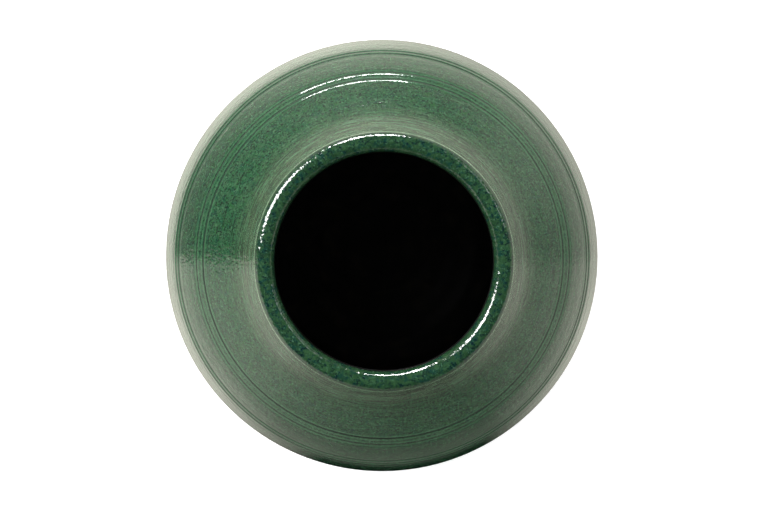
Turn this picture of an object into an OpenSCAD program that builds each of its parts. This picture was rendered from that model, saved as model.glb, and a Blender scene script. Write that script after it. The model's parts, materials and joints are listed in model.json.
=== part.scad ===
// Globular stoneware vase with a short flared neck, a rolled lip and two pairs of incised lines.
// It is thrown as a bowl, a shoulder and a collar, which are joined with slip and then glazed.
// The origin is the centre of the foot, on the table, with +Z up. Millimetres.

/* [Body] */
// Height from the table to the crest of the lip
height = 226; // [190:1:275]
// Radius of the glazed belly at its widest level
belly_r = 108; // [90:1:130]
// Height of the belly's widest level above the table
belly_z = 114; // [95:1:137]
// Thickness of the wall, from glaze to glaze
wall = 6.5; // [5:0.1:8]
// Thickness of the floor, from its underside to the glaze inside
floor_t = 9; // [6:0.5:12]
// Height over which the floor bends up into the wall
floor_bend = 12; // [6:1:18]

/* [Foot] */
// Outer radius of the foot ring where it joins the body
foot_r = 56; // [45:1:68]
// Width of the foot ring
foot_w = 8; // [5:0.5:12]
// Height of the foot ring
foot_h = 8; // [5:0.5:12]
// How far the foot ring is set in from the bottom of the wall
foot_step = 2; // [1:0.1:4]
// Bevel on the edges of the tread
foot_bevel = 1; // [0.5:0.1:1.5]

/* [Neck and lip] */
// Clear radius of the throat
mouth_r = 50; // [40:1:62]
// Width of the rolled lip
lip_w = 9.5; // [7.5:0.1:12]
// Height of the neck and lip above the shoulder
neck_h = 36; // [30:1:45]
// How far the neck spreads beyond the lip where it meets the shoulder
neck_flare = 15; // [12:1:20]
// Slope of the neck just under the lip, in degrees above the horizontal
neck_lean = 72; // [65:1:80]
// Angle below the horizontal at which the roll of the lip meets the neck
lip_under = 40; // [25:1:50]
// Straight length of the throat under the lip
throat_len = 6; // [4:0.5:8]

/* [Incised lines] */
// How far the upper pair lies below the start of the neck
upper_pair_drop = 14.4; // [10:0.1:18]
// How far the lower pair lies below the start of the neck
lower_pair_drop = 36; // [30:0.5:44]
// Distance between the two lines of a pair, along the wall
pair_gap = 5.5; // [4:0.1:7]
// Width of an incised line
line_w = 1.6; // [1:0.1:2]
// Depth of an incised line in the clay
line_d = 0.8; // [0.4:0.1:1]
// Depth of it that still shows once the glaze has run in
line_shown = 0.5; // [0.2:0.1:0.8]

/* [Glaze] */
// Thickness of the glaze on the outside and the lip
glaze_t = 0.8; // [0.5:0.1:1.2]
// Thickness of the glaze inside
liner_t = 0.6; // [0.4:0.1:1]
// Height of the bare band of clay between the foot ring and the glaze
bare_h = 5; // [2:0.5:10]

/* [Slip joints] */
// Thickness of the slip between two thrown pieces
slip_t = 0.6; // [0.4:0.1:1]
// Height of the tongue on the upper piece of a joint
tongue_h = 1.2; // [0.6:0.1:2]

/* [Hidden] */

CLAY = [0.60, 0.50, 0.40];
SLIP = [0.48, 0.40, 0.33];
GREEN = [0.22, 0.40, 0.29];
DEEP_GREEN = [0.10, 0.28, 0.19];
BLACK = [0.03, 0.03, 0.03];

// Every piece is turned about the vertical axis, with this many facets in the preview.
ROUND = 180;
// The body's outline has a point at least every so many degrees.
BODY_STEP = 2;
// Each half of an incised line has this many straight pieces.
LINE_STEPS = 3;
// The bends between the body, the neck and the floor, and the two sides of the lip's roll.
BEND_STEPS = 14;
OUTER_ROLL_STEPS = 13;
INNER_ROLL_STEPS = 9;
// A bend's two handles, as a share of the distance that it spans.
HANDLE = 0.4;
// Where a joint's tongue starts and ends, as shares of the wall.
TONGUE = [[0, 0], [0.2, 0], [0.5, 1], [0.8, 0], [1, 0]];

wall_foot_r = foot_r + foot_step;
floor_z = foot_h + floor_t;
roll_r = lip_w / 2;
roll_centre = [mouth_r + roll_r, height - roll_r];
throat_z = roll_centre.y - throat_len;
neck_z = height - neck_h;
neck_foot_r = mouth_r + lip_w + neck_flare;

// The body's outline is two half ellipses, one below the belly and one above it. A point on it is
// given by its angle: 0 at the belly, negative below it.
foot_angle = -acos(wall_foot_r / belly_r);
neck_angle = acos(neck_foot_r / belly_r);
lower_b = (belly_z - foot_h) / sin(-foot_angle);
upper_b = (neck_z - belly_z) / sin(neck_angle);
glaze_angle = -asin((belly_z - foot_h - bare_h) / lower_b);
floor_angle = -asin((belly_z - floor_z - floor_bend) / (lower_b - wall));
floor_r = (belly_r - wall) * cos(asin((belly_z - floor_z) / (lower_b - wall))) - floor_bend;

function unit(v) = v / norm(v);
function half_height(angle) = angle < 0 ? lower_b : upper_b;

// The direction up the wall, the direction out of it, and the wall's length in millimetres a degree.
function travel(angle) = [-belly_r * sin(angle), half_height(angle) * cos(angle)];
function up_wall(angle) = unit(travel(angle));
function out_of_wall(angle) = [up_wall(angle).y, -up_wall(angle).x];
function mm_per_degree(angle) = norm(travel(angle)) * PI / 180;

// The two lines of a pair, and the joint between them.
function pair_angle(drop) = asin((neck_z - drop - belly_z) / upper_b);
function pair(angle) = [for (side = [-1, 1]) angle + side * pair_gap / 2 / mm_per_degree(angle)];
upper_joint = pair_angle(upper_pair_drop);
lower_joint = pair_angle(lower_pair_drop);
lines = concat(pair(lower_joint), pair(upper_joint));

// How deep an incised line is at an angle, from 0 to 1: a rounded valley.
function valley(x) = abs(x) >= 1 ? 0 : (1 + cos(180 * x)) / 2;
function incised(angle) = max([for (at = lines) valley((angle - at) * mm_per_degree(at) / (line_w / 2))]);

// A point of the wall, a distance below the glazed surface, on a smooth or an incised face.
function smooth_face(angle, below) =
    [(belly_r - below) * cos(angle), belly_z + (half_height(angle) - below) * sin(angle)];
function incised_face(angle, below, depth) =
    smooth_face(angle, below) - out_of_wall(angle) * depth * incised(angle);
function clay_face(angle) = incised_face(angle, glaze_t, line_d);
function clay_inside(angle) = smooth_face(angle, wall - liner_t);

// The angles at which the outline has a point: its ends, each line and joint, and steps between them.
function slip_edge(angle, side) = angle + side * slip_t / 2 / mm_per_degree(angle);
function across_line(angle) =
    [for (k = [-LINE_STEPS:LINE_STEPS]) angle + k / LINE_STEPS * line_w / 2 / mm_per_degree(angle)];
function sorted(v) =
    len(v) < 2 ? v
    : concat(
        sorted([for (x = v) if (x < v[0]) x]),
        [v[0]],
        sorted([for (x = v) if (x > v[0]) x])
    );
function stepped(v) = [
    for (i = [0:len(v) - 2]) let (n = ceil((v[i + 1] - v[i]) / BODY_STEP))
        for (k = [0:n - 1]) v[i] + (v[i + 1] - v[i]) * k / n,
    v[len(v) - 1],
];
angles = stepped(sorted(concat(
    [foot_angle, glaze_angle, floor_angle, 0, neck_angle],
    [for (at = lines) each across_line(at)],
    [for (at = [lower_joint, upper_joint], side = [-1, 1]) slip_edge(at, side)]
)));
function angles_within(low, high) = [for (a = angles) if (a > low && a < high) a];

function reversed(v) = [for (i = [len(v) - 1:-1:0]) v[i]];

// A smooth bend from one point and direction to another.
function bend(from, leaving, to, arriving) =
    let (reach = HANDLE * norm(to - from), a = from + leaving * reach, b = to - arriving * reach)
    [for (i = [0:BEND_STEPS]) let (t = i / BEND_STEPS, s = 1 - t)
        s * s * s * from + 3 * s * s * t * a + 3 * s * t * t * b + t * t * t * to];

// The roll of the lip, from under its outside over the crest to the throat.
function on_roll(angle, below) = roll_centre + (roll_r - below) * [cos(angle), sin(angle)];
function roll(below) = [
    for (i = [0:OUTER_ROLL_STEPS]) on_roll(-lip_under + (90 + lip_under) * i / OUTER_ROLL_STEPS, below),
    for (i = [1:INNER_ROLL_STEPS]) on_roll(90 + 90 * i / INNER_ROLL_STEPS, below),
];

function roll_past_neck(below) = [for (i = [1:len(roll(below)) - 1]) roll(below)[i]];

// The outside of the neck, from the shoulder to the roll, on the glaze or under it.
function neck_outside(below) = bend(
    smooth_face(neck_angle, below), up_wall(neck_angle),
    on_roll(-lip_under, below), [-cos(neck_lean), sin(neck_lean)]
);

// The inside, on the glaze or under it: the floor with its bend, and the neck with the throat.
function floor_inside(below) = concat(
    [[0, floor_z - below]],
    bend(
        [floor_r, floor_z - below], [1, 0],
        smooth_face(floor_angle, wall - below), up_wall(floor_angle)
    )
);
function neck_inside(below) = concat(
    bend(
        smooth_face(neck_angle, wall - below), up_wall(neck_angle),
        [mouth_r + below, throat_z], [0, 1]
    ),
    [[mouth_r + below, roll_centre.y]]
);

// One face of a slip joint, from the outside of the clay to its inside. Side -1 is the lower piece's.
function joint_face(angle, side) =
    let (edge = slip_edge(angle, side), outer = clay_face(edge), inner = clay_inside(edge))
    [for (p = TONGUE) outer + (inner - outer) * p[0] - up_wall(angle) * tongue_h * p[1]];

module turned(outline) {
    rotate_extrude($fn = ROUND) polygon(outline);
}

// The ring that the vase stands on: bare clay, a little narrower at the tread.
module foot_ring() {
    color(CLAY) turned([
        [foot_r - foot_w, foot_bevel],
        [foot_r - foot_w + foot_bevel, 0],
        [foot_r - 2 * foot_bevel, 0],
        [foot_r - foot_bevel, foot_bevel],
        [foot_r, foot_h - slip_t],
        [foot_r - foot_w, foot_h - slip_t],
    ]);
}

// Slip between the foot ring and the bowl.
module foot_slip() {
    color(SLIP) turned([
        [foot_r - foot_w, foot_h - slip_t], [foot_r, foot_h - slip_t],
        [foot_r, foot_h], [foot_r - foot_w, foot_h],
    ]);
}

// The floor and the wall up to the lower pair of lines.
module bowl() {
    top = slip_edge(lower_joint, -1);
    color(CLAY) turned(concat(
        [[0, foot_h], [clay_face(foot_angle).x, foot_h], clay_face(foot_angle)],
        [for (a = angles_within(foot_angle, top)) clay_face(a)],
        joint_face(lower_joint, -1),
        reversed([for (a = angles_within(floor_angle, top)) clay_inside(a)]),
        reversed(floor_inside(liner_t))
    ));
}

// The ring between the two pairs of lines.
module shoulder() {
    bottom = slip_edge(lower_joint, 1);
    top = slip_edge(upper_joint, -1);
    color(CLAY) turned(concat(
        [for (a = angles_within(bottom, top)) clay_face(a)],
        joint_face(upper_joint, -1),
        reversed([for (a = angles_within(bottom, top)) clay_inside(a)]),
        reversed(joint_face(lower_joint, 1))
    ));
}

// The top of the wall, the neck and the core of the lip.
module collar() {
    bottom = slip_edge(upper_joint, 1);
    color(CLAY) turned(concat(
        [for (a = angles_within(bottom, neck_angle)) clay_face(a)],
        neck_outside(glaze_t),
        roll_past_neck(glaze_t),
        reversed(neck_inside(liner_t)),
        reversed([for (a = angles_within(bottom, neck_angle)) clay_inside(a)]),
        reversed(joint_face(upper_joint, 1))
    ));
}

// Slip between two thrown pieces.
module joint_slip(angle) {
    color(SLIP) turned(concat(joint_face(angle, -1), reversed(joint_face(angle, 1))));
}

// The green glaze, from its edge above the foot to the underside of the roll.
module outer_glaze() {
    bevel_angle = glaze_angle + glaze_t / mm_per_degree(glaze_angle);
    color(GREEN) turned(concat(
        [clay_face(glaze_angle), smooth_face(bevel_angle, 0)],
        [for (a = angles_within(bevel_angle, neck_angle)) incised_face(a, 0, line_shown)],
        neck_outside(0),
        reversed(neck_outside(glaze_t)),
        reversed([for (a = angles_within(glaze_angle, neck_angle)) clay_face(a)])
    ));
}

// The deeper second coat over the roll of the lip.
module lip_glaze() {
    color(DEEP_GREEN) turned(concat(roll(0), reversed(roll(glaze_t))));
}

// The dark glaze inside, from the floor to the crest's inner edge.
module liner_glaze() {
    color(BLACK) turned(concat(
        floor_inside(liner_t),
        [for (a = angles_within(floor_angle, neck_angle)) clay_inside(a)],
        neck_inside(liner_t),
        reversed(neck_inside(0)),
        reversed([for (a = angles_within(floor_angle, neck_angle)) smooth_face(a, wall)]),
        reversed(floor_inside(0))
    ));
}

foot_ring();
foot_slip();
bowl();
joint_slip(lower_joint);  // bowl_slip
shoulder();
joint_slip(upper_joint);  // shoulder_slip
collar();
outer_glaze();
lip_glaze();
liner_glaze();
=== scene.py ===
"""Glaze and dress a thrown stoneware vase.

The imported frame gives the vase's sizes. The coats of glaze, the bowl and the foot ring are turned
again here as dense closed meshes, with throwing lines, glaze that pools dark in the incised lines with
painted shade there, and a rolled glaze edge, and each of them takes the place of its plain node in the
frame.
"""
import json
import logging
import math
from dataclasses import dataclass, field
from enum import Enum
from typing import Callable, Sequence

import bpy
import numpy as np
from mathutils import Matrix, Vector

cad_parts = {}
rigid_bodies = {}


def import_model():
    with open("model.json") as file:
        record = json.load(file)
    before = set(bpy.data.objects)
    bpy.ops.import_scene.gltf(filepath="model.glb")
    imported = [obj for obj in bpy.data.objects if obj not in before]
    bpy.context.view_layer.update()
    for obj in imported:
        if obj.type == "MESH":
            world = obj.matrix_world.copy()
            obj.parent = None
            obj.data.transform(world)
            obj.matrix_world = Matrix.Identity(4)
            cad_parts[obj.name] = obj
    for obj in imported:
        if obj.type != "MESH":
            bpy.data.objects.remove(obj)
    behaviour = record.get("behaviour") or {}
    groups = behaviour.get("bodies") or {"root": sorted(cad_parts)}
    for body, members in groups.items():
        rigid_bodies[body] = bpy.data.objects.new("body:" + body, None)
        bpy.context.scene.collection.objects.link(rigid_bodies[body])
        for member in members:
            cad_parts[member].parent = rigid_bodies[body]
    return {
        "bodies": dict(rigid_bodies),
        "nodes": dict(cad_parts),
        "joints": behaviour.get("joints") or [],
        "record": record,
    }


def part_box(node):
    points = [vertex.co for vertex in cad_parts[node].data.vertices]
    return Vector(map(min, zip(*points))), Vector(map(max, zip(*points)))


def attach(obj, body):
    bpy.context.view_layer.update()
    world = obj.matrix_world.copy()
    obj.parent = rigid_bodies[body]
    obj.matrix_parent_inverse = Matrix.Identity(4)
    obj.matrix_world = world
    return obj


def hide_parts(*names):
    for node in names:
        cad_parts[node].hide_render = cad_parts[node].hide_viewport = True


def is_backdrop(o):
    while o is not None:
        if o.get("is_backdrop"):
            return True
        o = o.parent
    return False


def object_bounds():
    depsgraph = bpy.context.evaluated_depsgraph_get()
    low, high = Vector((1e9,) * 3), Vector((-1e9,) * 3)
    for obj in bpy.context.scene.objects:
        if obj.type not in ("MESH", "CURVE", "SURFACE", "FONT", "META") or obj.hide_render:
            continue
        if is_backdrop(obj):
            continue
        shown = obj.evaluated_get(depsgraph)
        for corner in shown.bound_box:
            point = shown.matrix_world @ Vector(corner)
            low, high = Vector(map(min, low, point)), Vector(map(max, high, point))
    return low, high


LOG = logging.getLogger("vase")
MM = 0.001
ROOT_BODY = "root"
STREAK_RADIUS = 0.09  # turns an angle around the pot into a length along its wall

Array = np.ndarray
Colour = tuple[float, float, float]
Relief = Callable[[Array, Array], Array]
Socket = bpy.types.NodeSocket


# ----- The shape of the pot -----


def unit(vector: Array) -> Array:
    """Return the vector scaled to a length of one."""
    return vector / np.linalg.norm(vector)


def bend(start: Array, leaving: Array, end: Array, arriving: Array) -> Array:
    """Draw a smooth bend between two points of an outline.

    Args:
        start: first point, as radius and height.
        leaving: unit direction at the first point.
        end: last point.
        arriving: unit direction at the last point.

    Returns:
        The points of the bend, one row each.
    """
    handle = 0.4
    reach = handle * np.linalg.norm(end - start)
    first, second = start + leaving * reach, end - arriving * reach
    t = np.linspace(0, 1, 80)[:, None]
    s = 1 - t
    return s**3 * start + 3 * s * s * t * first + 3 * s * t * t * second + t**3 * end


@dataclass
class PotShape:
    """Sizes of the turned pot, in metres, and the outlines that follow from them.

    The overall sizes are read from the frame, and the rest are the sizes of its hidden bends.
    """

    height: float = 0.226
    belly_r: float = 0.108
    belly_z: float = 0.114
    wall: float = 6.5 * MM
    foot_r: float = 0.056
    foot_w: float = 8 * MM
    foot_h: float = 8 * MM
    mouth_r: float = 0.050
    lip_w: float = 9.5 * MM
    upper_joint_z: float = 0.1756
    lower_joint_z: float = 0.154
    glaze_foot_z: float = 0.013
    glaze_t: float = 0.8 * MM
    liner_t: float = 0.6 * MM
    floor_t: float = 9 * MM
    floor_bend: float = 12 * MM
    foot_step: float = 2 * MM
    neck_h: float = 36 * MM
    neck_flare: float = 15 * MM
    neck_lean: float = math.radians(72)
    lip_under: float = math.radians(40)
    throat_len: float = 6 * MM
    pair_gap: float = 5.5 * MM

    @classmethod
    def from_frame(cls, frame: dict) -> "PotShape":
        """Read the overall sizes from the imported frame.


        Returns:
            The shape, with every size that the frame states.
        """
        mouth = next(m for m in frame["record"]["mounts"] if m["name"] == "mouth")
        outside, lip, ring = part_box("outer_glaze"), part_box("lip_glaze"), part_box("foot_ring")
        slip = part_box("foot_slip")
        mouth_r = mouth["dims"]["r_mm"] * MM
        return cls(
            height=lip[1][2],
            belly_r=outside[1][0],
            foot_r=ring[1][0],
            foot_h=slip[1][2],
            mouth_r=mouth_r,
            lip_w=lip[1][0] - mouth_r,
            glaze_foot_z=outside[0][2],
        )

    def __post_init__(self) -> None:
        """Work out the two half ellipses and the marks on them."""
        self.roll_r = self.lip_w / 2
        self.roll_centre = np.array([self.mouth_r + self.roll_r, self.height - self.roll_r])
        self.neck_z = self.height - self.neck_h
        neck_foot_r = self.mouth_r + self.lip_w + self.neck_flare
        self.foot_angle = -math.acos((self.foot_r + self.foot_step) / self.belly_r)
        self.neck_angle = math.acos(neck_foot_r / self.belly_r)
        self.lower_b = (self.belly_z - self.foot_h) / math.sin(-self.foot_angle)
        self.upper_b = (self.neck_z - self.belly_z) / math.sin(self.neck_angle)
        self.floor_z = self.foot_h + self.floor_t
        inner_b = self.lower_b - self.wall
        self.floor_angle = -math.asin((self.belly_z - self.floor_z - self.floor_bend) / inner_b)
        rise = math.asin((self.belly_z - self.floor_z) / inner_b)
        self.floor_r = (self.belly_r - self.wall) * math.cos(rise) - self.floor_bend
        self.glaze_angle = -math.asin((self.belly_z - self.glaze_foot_z) / self.lower_b)

    def half_height(self, angle: float) -> float:
        """Return the ellipse's half height above or below the belly."""
        return self.lower_b if angle < 0 else self.upper_b

    def up_wall(self, angle: float) -> Array:
        """Return the direction up the wall at an angle of the body."""
        return unit(np.array([-self.belly_r * math.sin(angle), self.half_height(angle) * math.cos(angle)]))

    def body(self, start: float, end: float, below: float, count: int = 400) -> Array:
        """Draw the body's outline between two angles.

        Args:
            start: first angle, negative below the belly.
            end: last angle.
            below: distance under the glazed surface.
            count: number of points.

        Returns:
            The points, one row each.
        """
        angles = np.linspace(start, end, count)
        half = np.where(angles < 0, self.lower_b, self.upper_b)
        radius = (self.belly_r - below) * np.cos(angles)
        return np.stack([radius, self.belly_z + (half - below) * np.sin(angles)], axis=1)

    def body_at(self, angle: float, below: float) -> Array:
        """Return one point of the body's outline."""
        return self.body(angle, angle, below, 1)[0]

    def roll(self, start: float, end: float, below: float = 0.0) -> Array:
        """Draw the roll of the lip between two angles, a distance under its surface."""
        angles = np.linspace(start, end, 90)[:, None]
        return self.roll_centre + (self.roll_r - below) * np.hstack([np.cos(angles), np.sin(angles)])

    def outside(self, start: float, below: float = 0.0) -> Array:
        """Draw the outside up to the underside of the lip.

        Args:
            start: angle of the body at which it starts.
            below: distance under the glazed surface.

        Returns:
            The points, from the bottom up.
        """
        lean = np.array([-math.cos(self.neck_lean), math.sin(self.neck_lean)])
        neck = bend(
            self.body_at(self.neck_angle, below),
            self.up_wall(self.neck_angle),
            self.roll(-self.lip_under, -self.lip_under, below)[0],
            lean,
        )
        return np.vstack([self.body(start, self.neck_angle, below), neck[1:]])

    def inside(self, below: float = 0.0) -> Array:
        """Draw the inside from the middle of the floor up to the lip.

        Args:
            below: distance under the surface of the lining.

        Returns:
            The points, from the middle of the floor outwards and up.
        """
        depth = self.wall - below
        floor_top = self.floor_z - below
        floor = bend(
            np.array([self.floor_r, floor_top]),
            np.array([1.0, 0.0]),
            self.body_at(self.floor_angle, depth),
            self.up_wall(self.floor_angle),
        )
        throat_z = self.roll_centre[1] - self.throat_len
        neck = bend(
            self.body_at(self.neck_angle, depth),
            self.up_wall(self.neck_angle),
            np.array([self.mouth_r + below, throat_z]),
            np.array([0.0, 1.0]),
        )
        top = np.array([[self.mouth_r + below, self.roll_centre[1]]])
        wall = self.body(self.floor_angle, self.neck_angle, depth)
        return np.vstack([[[0.0, floor_top]], floor, wall[1:], neck[1:], top])


class Curve:
    """An outline in radius and height, measured by its length."""

    def __init__(self, points: Array) -> None:
        """Measure the outline.

        Args:
            points: rows of radius and height, in order.
        """
        self.points = points
        self.lengths = np.concatenate([[0], np.cumsum(np.linalg.norm(np.diff(points, axis=0), axis=1))])

    @property
    def length(self) -> float:
        """Return the whole length."""
        return float(self.lengths[-1])

    def at(self, where: Array) -> Array:
        """Return the points at the given lengths."""
        return np.stack([np.interp(where, self.lengths, self.points[:, k]) for k in (0, 1)], axis=1)

    def length_at_height(self, z: float) -> float:
        """Return the length at which the outline first reaches a height."""
        return float(self.lengths[np.argmax(self.points[:, 1] >= z)])

    def sampled(self, spacing: Callable[[Array], Array]) -> Array:
        """Choose lengths along the outline whose spacing follows a rule.

        Args:
            spacing: gives the wanted distance between rows at each length.

        Returns:
            The lengths, from zero to the end.
        """
        fine = np.linspace(0, self.length, 6000)
        density = 1 / spacing(fine)
        rows = np.concatenate([[0], np.cumsum((density[1:] + density[:-1]) / 2 * np.diff(fine))])
        return np.interp(np.linspace(0, rows[-1], max(4, int(rows[-1]) + 1)), rows, fine)


def even(step: float) -> Callable[[Array], Array]:
    """Return a rule for rows that are the same distance apart all along an outline."""
    return lambda where: np.full_like(where, step)


def outward(points: Array) -> Array:
    """Find the unit normals on the right of an outline's travel, which is outside on the way up.

    Args:
        points: rows of radius and height.

    Returns:
        One normal for each point.
    """
    along = np.gradient(points, axis=0)
    along /= np.linalg.norm(along, axis=1)[:, None]
    return np.stack([along[:, 1], -along[:, 0]], axis=1)


# ----- Relief: what the hands, the tools and the kiln leave on the surface -----


def ripple(angle: Array, seed: int, amount: float, lobes: Sequence[int]) -> Array:
    """Return a smooth wave around the pot that meets itself.

    Args:
        angle: angles about the pot's axis.
        seed: fixes the wave.
        amount: its height.
        lobes: how many times each part of it repeats in a turn.

    Returns:
        The wave at each angle.
    """
    draw = np.random.default_rng(seed)
    total = np.zeros_like(angle)
    for count in lobes:
        total += draw.uniform(0.4, 1.0) * np.sin(count * angle + draw.uniform(0, math.tau))
    return amount * total / math.sqrt(len(lobes))


def bump(distance: Array, width: Array | float) -> Array:
    """Return a rounded hump of height one, and zero beyond its half width."""
    x = np.clip(np.abs(distance) / width, 0, 1)
    return (1 + np.cos(math.pi * x)) / 2


@dataclass
class ThrowingMarks:
    """The lines that fingers and ribs leave around the outside, as offsets out of the wall."""

    fine_depth: float = 0.007 * MM
    coarse_depth: float = 0.022 * MM
    seed: int = 11

    def __call__(self, where: Array, angle: Array) -> Array:
        """Work out how far the marks stand out of the wall.

        Args:
            where: lengths up the wall.
            angle: angles around it.

        Returns:
            The offset at each length and angle.
        """
        draw = np.random.default_rng(self.seed)
        total = np.zeros(np.broadcast(where, angle).shape)
        waves = [(7.1, self.coarse_depth), (4.3, self.coarse_depth / 2)]
        waves += [(2.3, self.fine_depth), (1.6, self.fine_depth), (3.1, self.fine_depth)]
        for pitch, depth in waves:
            phase = draw.uniform(0, math.tau)
            drift = ripple(angle, self.seed + int(pitch * 10), 0.5, (1, 2, 3))
            total = total + depth * np.sin(math.tau * where / (pitch * MM) + phase + angle + drift)
        return total


@dataclass
class IncisedLine:
    """One line cut around the wall: a burr, a sharp fall into the cut and a long rise out of it.

    The glaze pools dark in the cut, darker still there as painted shade, and breaks pale on the ridges at
    its two sides.
    """

    centre: float
    burr: float
    depth: float = 0.42 * MM
    fall: float = 0.9 * MM
    rise: float = 3.1 * MM
    burr_width: float = 1.5 * MM
    width: float = 1.75 * MM
    ridge_away: float = 1.6 * MM
    ridge_width: float = 0.75 * MM

    def __call__(self, where: Array, angle: Array) -> Array:
        """Work out how far the line and its burr stand out of the wall.

        Args:
            where: lengths up the wall.
            angle: angles around it.

        Returns:
            The offset at each length and angle.
        """
        seed = int(self.centre * 1e5)
        off = where - self.centre + ripple(angle, seed, 0.12 * MM, (1, 2, 3, 5))
        strength = 1 + ripple(angle, seed + 1, 0.05, (1, 2, 4, 7))
        valley = -self.depth * bump(off, np.where(off > 0, self.fall, self.rise))
        above = off - 1.2 * self.fall
        burr = self.burr * bump(above, np.where(above > 0, self.burr_width, 1.2 * self.fall))
        return (valley + burr) * strength

    def pooled_and_shaded(self, where: Array) -> Array:
        """Return how far the glaze pools in the line, with painted shade, from 0 to 1."""
        return np.clip(1.6 * bump(where - self.centre - 0.1 * self.fall, self.width * 0.75), 0, 1)

    def bared(self, where: Array) -> Array:
        """Return how far the glaze thins on the ridges, from 0 to 1."""
        sides = [bump(where - self.centre - side * self.ridge_away, self.ridge_width) for side in (-1, 1)]
        return np.clip(sides[0] + sides[1], 0, 1)


# ----- Turning meshes -----


def make_piece(name: str, points: Array, faces: Sequence[tuple[int, ...]]) -> bpy.types.Object:
    """Make a mesh and put it in the scene.

    Args:
        name: the object's name.
        points: its vertices, one row each.
        faces: the vertices of each face.

    Returns:
        The new object.
    """
    mesh = bpy.data.meshes.new(name)
    mesh.from_pydata(points.tolist(), [], faces)
    piece = bpy.data.objects.new(name, mesh)
    bpy.context.scene.collection.objects.link(piece)
    return piece


def around_axis(angle: Array, profile: Sequence[tuple[float, float]]) -> Array:
    """Return the points of an open grid: a profile of radius and height, turned through angles."""
    across, along, level = np.cos(angle), np.sin(angle), np.ones_like(angle)
    return np.vstack([np.stack([r * across, r * along, z * level], 1) for r, z in profile])


def grid_faces(rows: int, columns: int) -> list[tuple[int, ...]]:
    """Return the four-sided faces of an open grid of points."""
    cells = [row * columns + k for row in range(rows - 1) for k in range(columns - 1)]
    return [(first, first + 1, first + columns + 1, first + columns) for first in cells]


@dataclass
class Face:
    """One face of a turned skin: its outline, its rows and what stands on it."""

    curve: Curve
    rows: Array
    relief: Relief | None = None
    shades: dict[str, Relief] = field(default_factory=dict)
    slide: Relief | None = None


class Lathe:
    """Turn closed outlines into meshes about the vertical axis."""

    def __init__(self, around: int) -> None:
        """Set the number of steps in a turn."""
        self.around = around
        self.angles = np.arange(around) * math.tau / around

    def surface(self, face: Face) -> Array:
        """Place the vertices of one face.

        Args:
            face: the face to turn.

        Returns:
            An array of rows by steps by 3.
        """
        angle = self.angles[None, :]
        where = face.rows[:, None] * np.ones_like(angle)
        if face.slide is not None:
            where = where + face.slide(where, angle)
        flat = face.curve.at(where.ravel())
        normal = outward(face.curve.at(face.rows))
        radius = flat[:, 0].reshape(where.shape)
        height = flat[:, 1].reshape(where.shape)
        if face.relief is not None:
            stand = face.relief(face.rows[:, None], angle)
            radius = radius + normal[:, 0][:, None] * stand
            height = height + normal[:, 1][:, None] * stand
        return np.stack([radius * np.cos(angle), radius * np.sin(angle), height], axis=2)

    def turn(self, name: str, faces: Sequence[Face], capped: bool = False) -> bpy.types.Object:
        """Turn faces that follow each other round a closed outline into one mesh.

        Args:
            name: the piece's name.
            faces: the faces in order; each ends where the next begins.
            capped: whether the outline starts and ends on the axis rather than closing on itself.

        Returns:
            The new object.
        """
        grids = [self.surface(face) for face in faces]
        grid = np.concatenate(grids)
        rows, steps = grid.shape[0], grid.shape[1]
        vertices = grid.reshape(-1, 3)
        lower = np.arange(rows - 1 if capped else rows)[:, None]
        step = np.arange(steps)[None, :]
        upper, following = (lower + 1) % rows, (step + 1) % steps
        corners = ((lower, step), (lower, following), (upper, following), (upper, step))
        quads = np.stack([row * steps + k for row, k in corners], axis=2).reshape(-1, 4)
        polygons = [tuple(q) for q in quads.tolist()]
        if capped:
            vertices, fans = self._caps(grid)
            polygons += fans
        piece = make_piece(name, vertices, polygons)
        mesh = piece.data
        mesh.validate()
        for key in sorted({k for face in faces for k in face.shades}):
            self._shade(mesh, key, faces, grids, len(vertices))
        mesh.polygons.foreach_set("use_smooth", np.ones(len(mesh.polygons), dtype=bool))
        mesh.update()
        return piece

    def _caps(self, grid: Array) -> tuple[Array, list[tuple[int, ...]]]:
        """Close the first and last rows of a grid onto the axis.

        Args:
            grid: rows by steps by 3.

        Returns:
            The vertices with the two on the axis added, and the faces that meet there.
        """
        rows, steps = grid.shape[0], grid.shape[1]
        ends = np.array([[0, 0, grid[0, :, 2].mean()], [0, 0, grid[-1, :, 2].mean()]])
        first, last, top = rows * steps, rows * steps + 1, (rows - 1) * steps
        fans: list[tuple[int, ...]] = []
        for step in range(steps):
            following = (step + 1) % steps
            fans.append((first, following, step))
            fans.append((last, top + step, top + following))
        return np.vstack([grid.reshape(-1, 3), ends]), fans

    def _shade(
        self, mesh: bpy.types.Mesh, key: str, faces: Sequence[Face], grids: Sequence[Array], total: int
    ) -> None:
        """Store one named value at every vertex, zero where a face doesn't give it.

        Args:
            mesh: the mesh that carries it.
            key: the value's name.
            faces: the faces that the mesh was turned from.
            grids: their vertices.
            total: how many vertices the mesh has.
        """
        values = []
        for face, grid in zip(faces, grids):
            rule = face.shades.get(key)
            angle = self.angles[None, :]
            shade = rule(face.rows[:, None], angle) if rule else 0.0
            values.append((shade + np.zeros(grid.shape[:2])).ravel())
        flat = np.concatenate(values)
        flat = np.concatenate([flat, np.zeros(total - len(flat))])
        attribute = mesh.attributes.new(key, "FLOAT", "POINT")
        attribute.data.foreach_set("value", flat.astype(np.float32))


# ----- Finishes -----


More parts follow.
